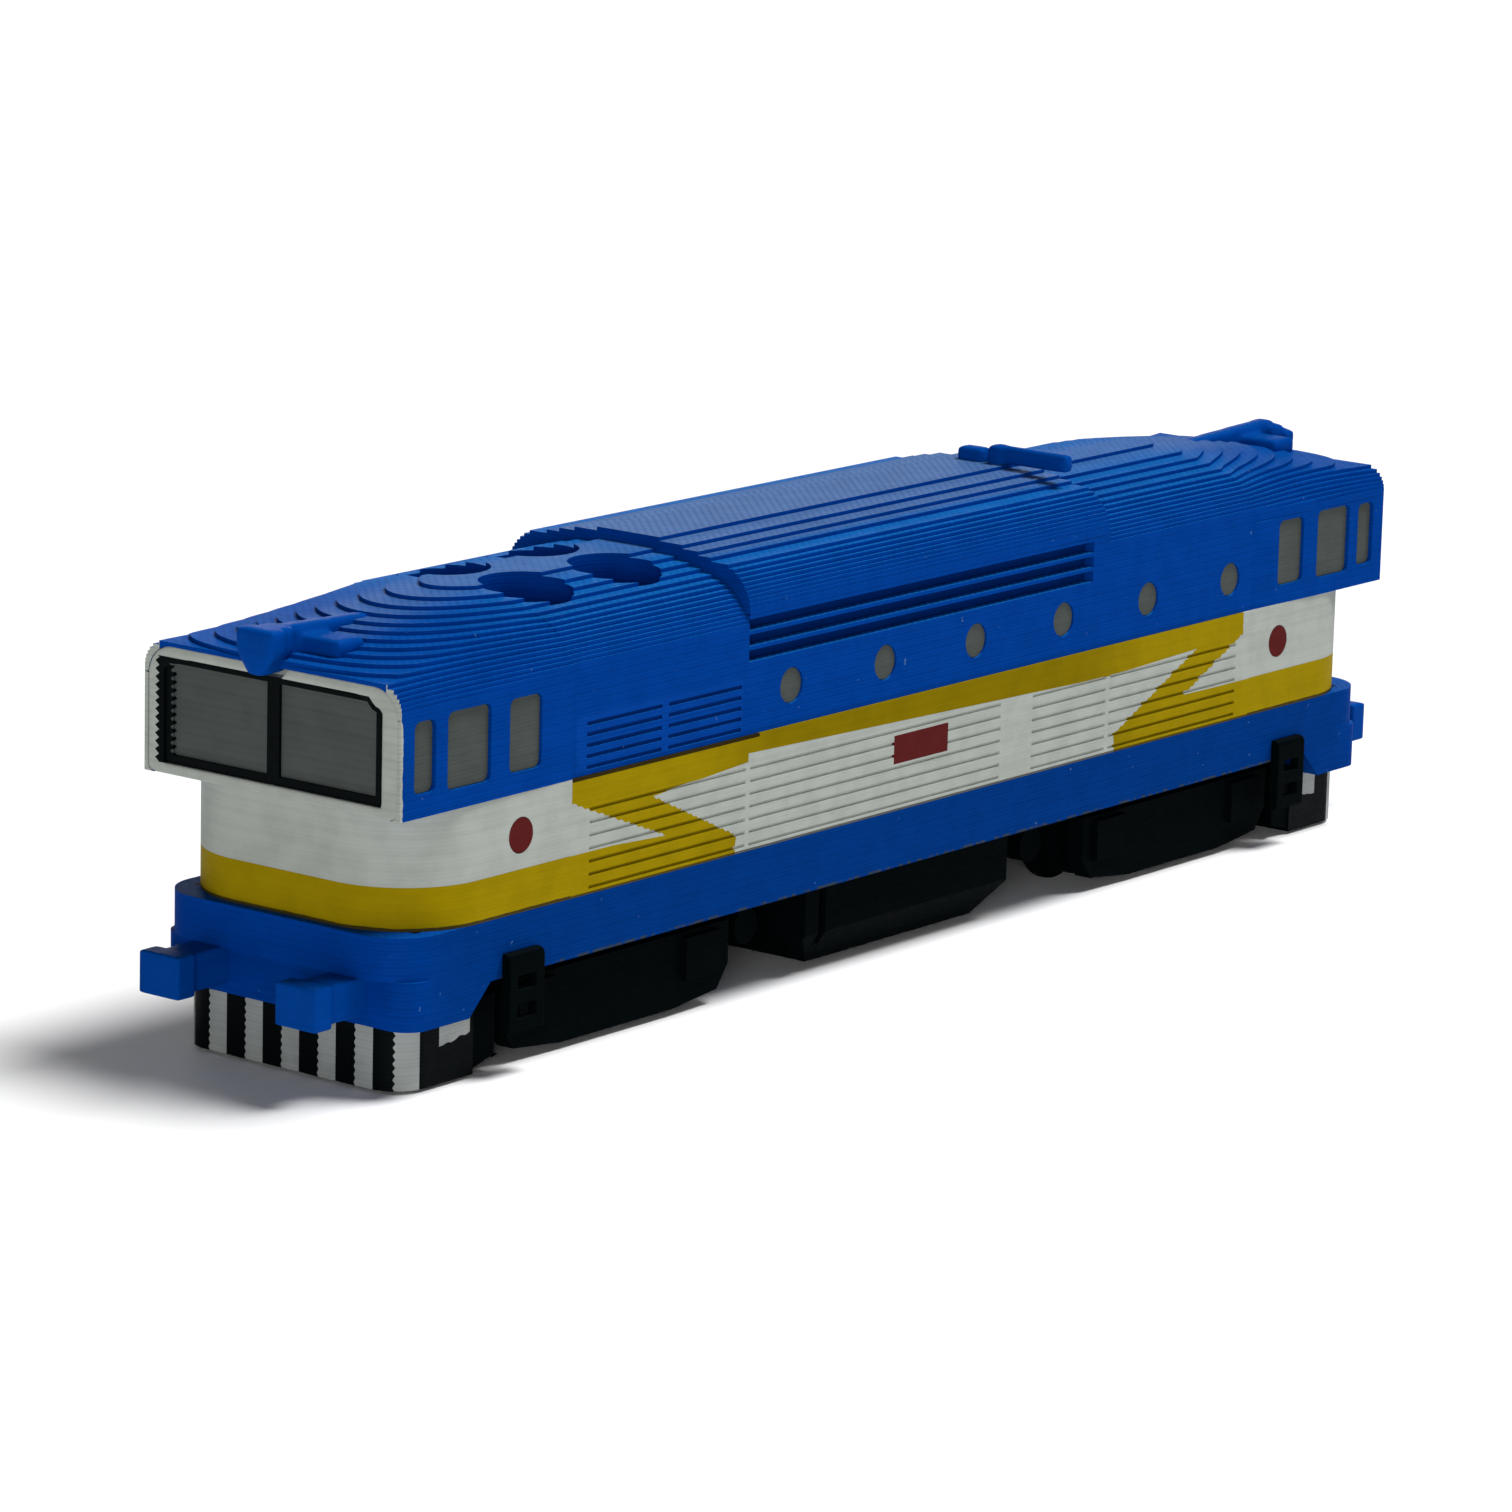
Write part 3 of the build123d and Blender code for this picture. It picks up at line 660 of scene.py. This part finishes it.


# blue: a painted grey sheen over the crown and the cab tops, painted shade in the louvre slots and grille
# grooves, painted highlights on the grille ribs, painted shade on the sill and painted light on the buffer
# beam, white round the windscreen corner
blueColours = {
    # crown and cab top colours: painted sheen on the upper faces
    "crown": (0.075, 0.16, 0.36), "crownY": (6.6, 5.0), "crownLow": 26.1, "crownX": hoodEnd,
    "deckCrownSheen": 0.6, "deckCrownY": (4.0, 1.0), "deckCrownLow": 24.6,
    "cabTopSheen": (0.002, 0.07, 0.33), "cabTopX": (31.0, 41.0),
    # sill and beam: the blue painted darker below the waist, a painted shade, and lighter on the buffer beam, a
    # painted light
    "sill": (0.0, 0.033, 0.195), "sillHigh": 10.0, "beam": (0.0, 0.044, 0.3), "beamX": (43.5, 50.5),
    # grille: a painted highlight on the ribs and painted shade in the grooves
    "ribHighlight": (0.001, 0.047, 0.29), "grilleGrooveShade": (0.0, 0.02, 0.14),
    "grilleX": (18.5, 33.5), "grilleY": (9.0, 9.165), "grilleZ": (16.3, 19.6),
    # louvre slots: painted shade inside them
    "slotShade": (0.0, 0.024, 0.16), "slotX": (-16.4, 18.0), "slotY": 9.12, "slotZ": (20.35, 23.0),
    "speck": (0.05, 0.12, 0.32), "speckNoise": (0.72, 0.76),
    "wrapX": 48.65, "wrapRagged": 0.12, "wrapLow": 16.1, "wrapTop": (21.3, 22.6), "wrapBack": 0.6,
    "faceX": 48.8, "faceY": 8.4,
    "scar": (0.03, 0.045, 0.07), "scarX": 40.0, "scarY": 9.2, "scarZ": (5.6, 5.86), "scarNoise": (0.46, 0.56),
}


def bluePaint():
    values = blueColours
    settings = plastics["blue"]
    paint = Paint("bluePrint")
    across = abs(paint.y)
    along = abs(paint.x)
    # painted shade below the waist, painted light on the buffer beam
    low = paint.z < values["sillHigh"]
    colour = paint.blend(low, settings["side"], values["sill"])
    colour = paint.blend(low * along.ramp(*values["beamX"]), colour, values["beam"])
    # painted shade in the louvre slots
    slot = paint.x.within(values["slotX"]) * paint.z.within(values["slotZ"]) * (across < values["slotY"])
    colour = paint.blend(slot, colour, values["slotShade"])
    # painted highlight on the grille ribs and painted shade in its grooves
    outward, grooveY = values["grilleY"]
    grille = paint.x.within(values["grilleX"]) * paint.z.within(values["grilleZ"]) * (across > outward)
    colour = paint.blend(grille, colour, values["ribHighlight"])
    colour = paint.blend(grille * (across < grooveY), colour, values["grilleGrooveShade"])
    specks = paint.noise(1.9, 4.0).ramp(*values["speckNoise"])
    colour = paint.blend(specks, colour, values["speck"])
    ragged = (paint.noise(2.5, 2.0) * 2 - 1) * values["wrapRagged"]
    ragged = ragged - paint.z.ramp(*values["wrapTop"]) * values["wrapBack"]
    wrap = (paint.x + ragged > values["wrapX"]).orElse((paint.x > values["faceX"]) * (across > values["faceY"]))
    colour = paint.blend(wrap * (paint.z > values["wrapLow"]), colour, plastics["white"]["side"])
    scar = paint.z.within(values["scarZ"]) * (across > values["scarY"]) * (along < values["scarX"])
    colour = paint.blend(scar * paint.noise(1.6, 3.0).ramp(*values["scarNoise"]), colour, values["scar"])
    # a painted grey sheen over the crown of the hood and a weaker one on the decks; the cab tops get a milder
    # painted sheen
    crown = across.ramp(*values["crownY"]) * (paint.z > values["crownLow"]) * (along < values["crownX"])
    deckCrownSheen = across.ramp(*values["deckCrownY"]) * (paint.z > values["deckCrownLow"]) * values["deckCrownSheen"]
    top = paint.blend(along.ramp(*values["cabTopX"]), settings["top"], values["cabTopSheen"])
    top = paint.blend(crown.orElse(deckCrownSheen), top, values["crown"])
    return finishPlastic(paint, colour, settings, top=top)


def toothed(paint):
    # saw teeth where two colours meet, one tooth to every two layers
    return abs((layerPosition(paint) * 0.5).fraction() - 0.5) * 2


# waist: yellow flashes drawn on white, stepped by the layers; lines are given as x z to x z
waistColours = {
    "hoodStripe": (0.0, 14.6, 18.0, 15.04),      # lower edge of the stripe
    "frontStripe": (18.24, 14.52, 26.93, 13.93),
    "rearStripe": (-28.0, 14.5, -18.0, 14.16),
    "frontRise": (19.1, 10.4, 26.9, 14.0),       # lower edge of the white wedge
    "frontWedge": (25.6, 11.5, 34.0, 14.7),      # upper edge of the wedge beside the cab
    "frontWedgeFoot": (25.6, 11.5, 34.0, 11.7),
    "rearRise": (19.1, 10.4, 27.9, 14.5),
    "rearWedge": (26.7, 11.75, 33.1, 14.7),
    "rearWedgeFoot": (26.7, 11.75, 34.0, 11.7),
    "start": 19.05, "rearEnd": 33.1, "rearEndLow": 11.8, "ragged": 0.1, "sideY": 8.9,
    "white": (0.365, 0.39, 0.36), "yellow": (0.2, 0.142, 0.0), "noseX": (14.0, 24.0),
    # groove colours: the groove floors painted lighter than the waist, a painted light
    "groove": 9.325, "litGrooveWhite": (0.43, 0.455, 0.42), "litGrooveYellow": (0.23, 0.165, 0.0), "gloss": 0.012,
    # foot: a painted shadow line under the step of the yellow band
    "foot": (0.01, 0.01, 0.012), "footZ": 9.34, "footShade": 0.8, "bandFootShade": 0.85, "bandRagged": 0.1,
    # eaves: a painted shadow under the edge of the blue
    "eavesShadow": (0.0, 0.0, 0.004), "eavesX": (17.0, 34.0), "eavesZ": 15.9, "eavesShade": 0.9,
}


def lineHeight(along, line):
    # height of a straight line through two points at x = along
    x0, z0, x1, z1 = line
    slope = (z1 - z0) / (x1 - x0)
    return along * slope + (z0 - x0 * slope)


def waistPaint():
    values = waistColours
    paint = Paint("waistPrint")
    position = layerPosition(paint)
    # height that climbs half in steps, half evenly
    level = (position.floor() * 0.5 + position * 0.5 + 0.25) * printing["layer"] + printing["firstLayer"]
    along = abs(paint.x) + (paint.random(position.floor()) - 0.5) * values["ragged"]
    isFront = paint.x > 0

    def flash(end):
        # the flash of one end, and the white wedge cut into it beside the cab
        beyond = along > values["start"]
        under = level < lineHeight(along, values[end + "Rise"])
        wedge = level < lineHeight(along, values[end + "Wedge"])
        wedge = wedge * (level > lineHeight(along, values[end + "WedgeFoot"]))
        return beyond * under * (1 - wedge), wedge
    front, frontWedge = flash("front")
    rear = flash("rear")[0]
    rear = rear * (1 - (along > values["rearEnd"]) * (level > values["rearEndLow"]))
    yellow = front * isFront + rear * (1 - isFront)
    low = lineHeight(paint.x, values["hoodStripe"])
    frontLow = lineHeight(paint.x, values["frontStripe"]).orElse(values["frontStripe"][3])
    low = low + (paint.x > hoodEnd) * (frontLow - low)
    low = low + (paint.x < -hoodEnd) * (lineHeight(paint.x, values["rearStripe"]) - low)
    stripe = (paint.z > low) * (1 - (paint.x < -values["rearEnd"]))
    yellow = yellow.orElse(stripe) * (1 - frontWedge * isFront)
    onSide = abs(paint.y) > values["sideY"]
    yellow = yellow * onSide
    # the groove floors are painted lighter, a painted light
    inGroove = abs(paint.y) < values["groove"]
    endYellow = paint.blend(abs(paint.x).ramp(*values["noseX"]), values["yellow"], plastics["yellow"]["side"])
    colour = paint.blend(inGroove * onSide, paint.blend(yellow, values["white"], endYellow),
                         paint.blend(yellow, values["litGrooveWhite"], values["litGrooveYellow"]))
    # painted shadow under the step of the band
    colour = paint.blend((paint.z < values["footZ"]) * values["footShade"], colour, values["foot"])
    # painted shadow under the blue eaves
    eavesShadow = (paint.z > values["eavesZ"]) * paint.x.within(values["eavesX"])
    colour = paint.blend(eavesShadow * values["eavesShade"], colour, values["eavesShadow"])
    return finishPlastic(paint, colour, {**plastics["white"], "gloss": values["gloss"]}, top=colour)


def bandPaint():
    values = waistColours
    settings = plastics["yellow"]
    paint = Paint("bandPrint")
    # painted shadow along the foot of the band, ragged
    foot = paint.z < values["footZ"] + paint.noise(0.8, 2.0) * values["bandRagged"]
    colour = paint.blend(foot * values["bandFootShade"], settings["side"], values["foot"])
    return finishPlastic(paint, colour, settings)


# windscreens: white frame, black surround and grey panes, ragged on the right side
screenColours = {
    "openingY": 8.1, "raggedOpeningY": 8.7, "openingZ": (16.7, 22.8),
    "paneY": (0.45, 7.55), "raggedPaneY": 7.7, "paneZ": (17.2, 22.45),
    "cutCorner": 1.0, "cutDrop": 0.7, "openingCut": 0.75, "paneCut": 0.1,
    "tooth": 0.3, "slightTooth": 0.08,
}


def screenPaint():
    values = screenColours
    paint = Paint("windscreenPrint")
    raggedSide = paint.y < 0
    bite = toothed(paint) * (values["slightTooth"] + raggedSide * (values["tooth"] - values["slightTooth"]))
    across = abs(paint.y)
    cut = values["cutCorner"]
    corner = (1 - raggedSide) * across - (values["openingY"] - cut)
    corner = corner + (paint.z - (values["openingZ"][1] - cut * values["cutDrop"]))
    openingY = raggedSide * (values["raggedOpeningY"] - values["openingY"]) + values["openingY"]
    innerY, outerY = values["paneY"]
    paneY = raggedSide * (values["raggedPaneY"] - outerY) + outerY
    opening = (across + bite < openingY) * paint.z.within(values["openingZ"])
    opening = opening * (corner < cut * values["openingCut"])
    pane = (across > innerY) * (across + bite < paneY) * paint.z.within(values["paneZ"])
    pane = pane * (corner < cut * values["paneCut"])
    colour = paint.blend(opening, plastics["white"]["side"], plastics["black"]["side"])
    colour = paint.blend(pane, colour, plastics["grey"]["side"])
    return finishPlastic(paint, colour, plastics["grey"], pairing=2, top=colour)


# skirts: black and white warning stripes, and a white patch behind the corner
skirtColours = {
    "firstY": -8.63, "pitch": 2.73, "tooth": 0.12, "cornerX": 45.5, "cornerY": 7.45,
    "white": (0.31, 0.33, 0.32),
    "patchX": (41.3, 43.9), "patchLow": 2.3, "patchSlope": 0.16, "patchRagged": 0.25,
}


def skirtPaint():
    values = skirtColours
    paint = Paint("skirtPrint")
    share = ((paint.y - values["firstY"]) / values["pitch"]).fraction()
    white = (share < 0.5) * (share > toothed(paint) * (values["tooth"] / values["pitch"]))
    outward = abs(paint.x)
    white = white.orElse(paint.y > toothed(paint) * values["tooth"] + values["cornerY"])
    white = white * (outward > values["cornerX"])
    patchLow = (values["patchX"][1] - outward) * values["patchSlope"] + values["patchLow"]
    patchLow = patchLow + (paint.noise(1.1, 2.0) * 2 - 1) * values["patchRagged"]
    patch = outward.within(values["patchX"]) * (paint.z > patchLow)
    colour = paint.blend(white.orElse(patch), plastics["black"]["side"], values["white"])
    return finishPlastic(paint, colour, plastics["grey"], top=colour)


paints = {name: plainPlastic(name) for name in plainNames}
paints["blue"] = bluePaint()
paints["waist"] = waistPaint()
paints["band"] = bandPaint()
paints["screen"] = screenPaint()
paints["skirt"] = skirtPaint()

# first letters of a piece's name, its paint; everything else is black
wardrobe = [
    ("waist_white", "waist"), ("flash", "waist"), ("nose_white", "white"), ("nose_band", "band"),
    ("side_plates", "red"), ("marker_discs", "red"), ("windscreen", "screen"),
    ("cab_windows", "grey"), ("portholes", "grey"), ("skirt", "skirt"),
    ("cab", "blue"), ("body", "blue"), ("deck_sill", "blue"), ("buffer_beam", "blue"),
    ("lamp", "lump"), ("exhaust", "lump"), ("buffers", "lump"),
]


def dress(piece, material):
    piece.data.materials.clear()
    piece.data.materials.append(material)


for piece in [*nodes.values(), *stepped, *softBlocks, *guards]:
    chosen = [paintName for start, paintName in wardrobe if piece.name.startswith(start)]
    dress(piece, paints[chosen[0] if chosen else "black"])
print("pieces painted")

# floor and light
stageValues = {
    "floorHalf": 3.0, "floorColour": (0.92, 0.92, 0.92), "floorRoughness": 0.9, "floorGloss": 0.1,
    "worldColour": (1.0, 1.0, 1.0), "worldStrength": 0.09,
}
# suns: where the light comes from, its strength and the spread in degrees
suns = {
    "key": {"from": (-0.36, 0.27, 0.9), "strength": 3.75, "spread": 24.0},
    "fill": {"from": (0.85, 0.57, 0.05), "strength": 1.95, "spread": 30.0},
    "back": {"from": (-0.7, -0.7, 0.06), "strength": 1.0, "spread": 30.0},
}


def makeFloor():
    deselectAll()
    bpy.ops.mesh.primitive_plane_add(size=2 * stageValues["floorHalf"], location=(0, 0, 0))
    floor = bpy.context.object
    floor.name = "floor"
    material = bpy.data.materials.new("floorPaper")
    material.use_nodes = True
    shader = material.node_tree.nodes["Principled BSDF"]
    shader.inputs["Base Color"].default_value = (*stageValues["floorColour"], 1.0)
    shader.inputs["Roughness"].default_value = stageValues["floorRoughness"]
    shader.inputs["Specular IOR Level"].default_value = stageValues["floorGloss"]
    dress(floor, material)


def makeLight():
    world = bpy.data.worlds.new("studio")
    bpy.context.scene.world = world
    world.use_nodes = True
    background = world.node_tree.nodes["Background"]
    background.inputs["Color"].default_value = (*stageValues["worldColour"], 1.0)
    background.inputs["Strength"].default_value = stageValues["worldStrength"]
    for name, values in suns.items():
        lamp = bpy.data.lights.new(name, "SUN")
        lamp.energy = values["strength"]
        lamp.angle = math.radians(values["spread"])
        softbox = bpy.data.objects.new(name, lamp)
        bpy.context.scene.collection.objects.link(softbox)
        softbox.rotation_euler = (-Vector(values["from"])).to_track_quat("-Z", "Y").to_euler()


# where the camera stands and looks, from its azimuth, elevation and roll
cameraValues = {
    "place": (0.31065, 0.23745, 0.09780), "azimuth": 127.868, "elevation": 12.594, "roll": 1.466,
    "lens": 156.12, "sensor": 36.0, "clipStart": 0.01,
}


def makeCamera():
    azimuth = math.radians(cameraValues["azimuth"])
    elevation = math.radians(cameraValues["elevation"])
    roll = math.radians(cameraValues["roll"])
    back = Vector((math.sin(azimuth) * math.cos(elevation), -math.cos(azimuth) * math.cos(elevation),
                   math.sin(elevation)))
    right = Vector((math.cos(azimuth), math.sin(azimuth), 0))
    up = back.cross(right)
    rolledRight = right * math.cos(roll) + up * math.sin(roll)
    rolledUp = up * math.cos(roll) - right * math.sin(roll)
    camera = bpy.data.objects.new("camera", bpy.data.cameras.new("camera"))
    bpy.context.scene.collection.objects.link(camera)
    camera.data.sensor_width = cameraValues["sensor"]
    camera.data.lens = cameraValues["lens"]
    camera.data.clip_start = cameraValues["clipStart"]
    camera.matrix_world = Matrix((
        (rolledRight.x, rolledUp.x, back.x, cameraValues["place"][0]),
        (rolledRight.y, rolledUp.y, back.y, cameraValues["place"][1]),
        (rolledRight.z, rolledUp.z, back.z, cameraValues["place"][2]),
        (0, 0, 0, 1)))
    bpy.context.scene.camera = camera


makeFloor()
makeLight()
makeCamera()
bpy.context.scene.view_settings.view_transform = "Standard"
print("stage set")
